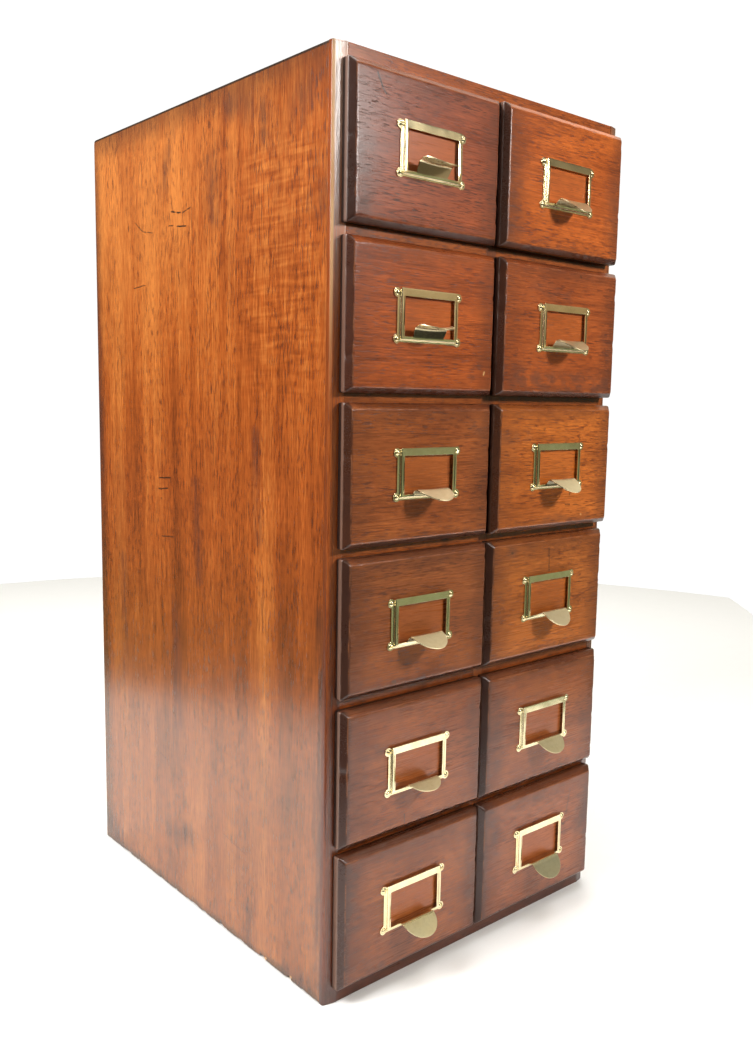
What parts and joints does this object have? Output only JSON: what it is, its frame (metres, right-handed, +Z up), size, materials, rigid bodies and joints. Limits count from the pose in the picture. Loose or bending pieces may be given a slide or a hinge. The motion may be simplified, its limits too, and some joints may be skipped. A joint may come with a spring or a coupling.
{
  "type": "index card cabinet",
  "caption": "Upright wooden card index cabinet with two columns of small bevelled drawers, each with a brass label-frame pull and a finger tongue.",
  "frame": {"origin": "middle of the carcass's base, on the floor", "axes": "+Z up, drawers face -Y and open along -Y, +X to the right as seen from the front"},
  "size_m": [0.346, 0.4492, 0.762],
  "materials": {
    "side_wood": "satin french polish",
    "lipping_wood": "satin french polish",
    "rail_wood": "satin french polish",
    "front_wood": "satin french polish, worn",
    "drawer_wood": "bare planed wood",
    "plywood": "stained plywood",
    "brass": "polished, lightly tarnished"
  },
  "bodies": {
    "carcass": {"left_side": "side_wood", "right_side": "side_wood", "left_lipping": "lipping_wood", "right_lipping": "lipping_wood", "top_panel": "side_wood", "bottom_panel": "rail_wood", "centre_partition": "rail_wood", "back_panel": "plywood", "front_rails": "rail_wood", "drawer_runners": "drawer_wood", "back_panel_screws": "brass"},
    "left_drawer_1": {"left_drawer_1_front": "front_wood", "left_drawer_1_box": "drawer_wood", "left_drawer_1_pull": "brass", "left_drawer_1_pull_screws": "brass"},
    "left_drawer_2": {"left_drawer_2_front": "front_wood", "left_drawer_2_box": "drawer_wood", "left_drawer_2_pull": "brass", "left_drawer_2_pull_screws": "brass"},
    "left_drawer_3": {"left_drawer_3_front": "front_wood", "left_drawer_3_box": "drawer_wood", "left_drawer_3_pull": "brass", "left_drawer_3_pull_screws": "brass"},
    "left_drawer_4": {"left_drawer_4_front": "front_wood", "left_drawer_4_box": "drawer_wood", "left_drawer_4_pull": "brass", "left_drawer_4_pull_screws": "brass"},
    "left_drawer_5": {"left_drawer_5_front": "front_wood", "left_drawer_5_box": "drawer_wood", "left_drawer_5_pull": "brass", "left_drawer_5_pull_screws": "brass"},
    "left_drawer_6": {"left_drawer_6_front": "front_wood", "left_drawer_6_box": "drawer_wood", "left_drawer_6_pull": "brass", "left_drawer_6_pull_screws": "brass"},
    "right_drawer_1": {"right_drawer_1_front": "front_wood", "right_drawer_1_box": "drawer_wood", "right_drawer_1_pull": "brass", "right_drawer_1_pull_screws": "brass"},
    "right_drawer_2": {"right_drawer_2_front": "front_wood", "right_drawer_2_box": "drawer_wood", "right_drawer_2_pull": "brass", "right_drawer_2_pull_screws": "brass"},
    "right_drawer_3": {"right_drawer_3_front": "front_wood", "right_drawer_3_box": "drawer_wood", "right_drawer_3_pull": "brass", "right_drawer_3_pull_screws": "brass"},
    "right_drawer_4": {"right_drawer_4_front": "front_wood", "right_drawer_4_box": "drawer_wood", "right_drawer_4_pull": "brass", "right_drawer_4_pull_screws": "brass"},
    "right_drawer_5": {"right_drawer_5_front": "front_wood", "right_drawer_5_box": "drawer_wood", "right_drawer_5_pull": "brass", "right_drawer_5_pull_screws": "brass"},
    "right_drawer_6": {"right_drawer_6_front": "front_wood", "right_drawer_6_box": "drawer_wood", "right_drawer_6_pull": "brass", "right_drawer_6_pull_screws": "brass"}
  },
  "joints": [
    {"name": "left_drawer_1_slide", "type": "slide", "parent": "carcass", "child": "left_drawer_1", "axis": [0, -1, 0], "range_m": [0, 0.3]},
    {"name": "left_drawer_2_slide", "type": "slide", "parent": "carcass", "child": "left_drawer_2", "axis": [0, -1, 0], "range_m": [0, 0.3]},
    {"name": "left_drawer_3_slide", "type": "slide", "parent": "carcass", "child": "left_drawer_3", "axis": [0, -1, 0], "range_m": [0, 0.3]},
    {"name": "left_drawer_4_slide", "type": "slide", "parent": "carcass", "child": "left_drawer_4", "axis": [0, -1, 0], "range_m": [0, 0.3]},
    {"name": "left_drawer_5_slide", "type": "slide", "parent": "carcass", "child": "left_drawer_5", "axis": [0, -1, 0], "range_m": [0, 0.3]},
    {"name": "left_drawer_6_slide", "type": "slide", "parent": "carcass", "child": "left_drawer_6", "axis": [0, -1, 0], "range_m": [0, 0.3]},
    {"name": "right_drawer_1_slide", "type": "slide", "parent": "carcass", "child": "right_drawer_1", "axis": [0, -1, 0], "range_m": [-0.0034, 0.3]},
    {"name": "right_drawer_2_slide", "type": "slide", "parent": "carcass", "child": "right_drawer_2", "axis": [0, -1, 0], "range_m": [-0.0042, 0.3]},
    {"name": "right_drawer_3_slide", "type": "slide", "parent": "carcass", "child": "right_drawer_3", "axis": [0, -1, 0], "range_m": [-0.0037, 0.3]},
    {"name": "right_drawer_4_slide", "type": "slide", "parent": "carcass", "child": "right_drawer_4", "axis": [0, -1, 0], "range_m": [0, 0.3]},
    {"name": "right_drawer_5_slide", "type": "slide", "parent": "carcass", "child": "right_drawer_5", "axis": [0, -1, 0], "range_m": [0, 0.3]},
    {"name": "right_drawer_6_slide", "type": "slide", "parent": "carcass", "child": "right_drawer_6", "axis": [0, -1, 0], "range_m": [0, 0.3]}
  ]
}
